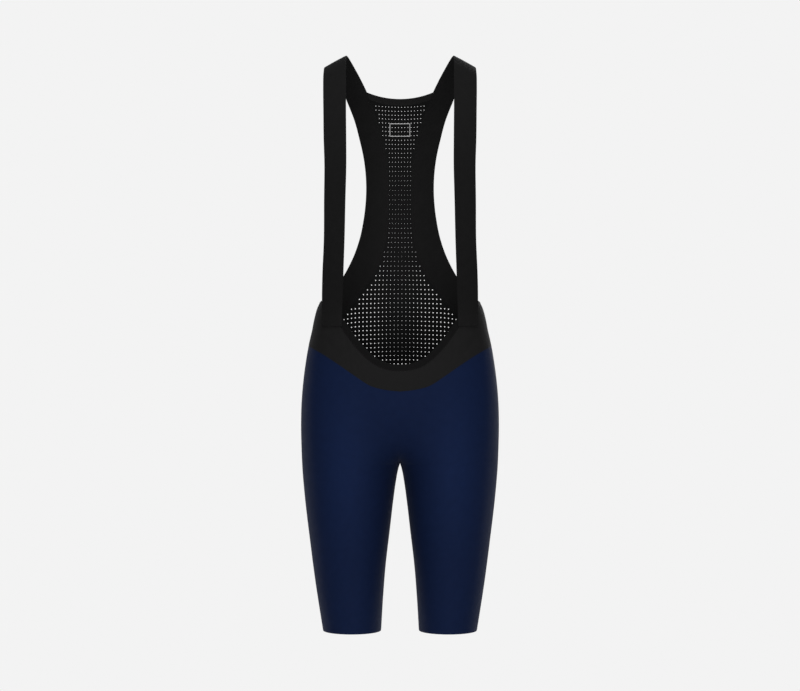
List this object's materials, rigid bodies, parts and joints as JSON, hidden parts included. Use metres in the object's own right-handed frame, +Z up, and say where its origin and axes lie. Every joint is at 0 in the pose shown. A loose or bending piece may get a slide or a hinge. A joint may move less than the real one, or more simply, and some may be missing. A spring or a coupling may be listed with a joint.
{
  "type": "cycling bib shorts",
  "caption": "Close-fitting cycling bib shorts in a worn, hollow form: two legs, a low-cut front, elastic shoulder straps and a narrow mesh back.",
  "frame": {"origin": "midway between the two straps where they cross the shoulders", "axes": "+Z up along the wearer's height, the garment's front faces -Y, +X to the wearer's left"},
  "size_m": [0.2964, 0.1989, 0.8617],
  "materials": {
    "navy_knit": "smooth matt stretch knit",
    "black_knit": "smooth matt stretch knit",
    "edge_elastic": "ribbed elastic binding",
    "strap_elastic": "woven elastic",
    "mesh_knit": "perforated knit mesh"
  },
  "bodies": {
    "root": {"front": "navy_knit", "back": "navy_knit", "waist_front": "black_knit", "front_trim": "edge_elastic", "strap_left": "strap_elastic", "strap_right": "strap_elastic", "back_mesh": "mesh_knit", "neck_hem": "edge_elastic"}
  },
  "joints": []
}
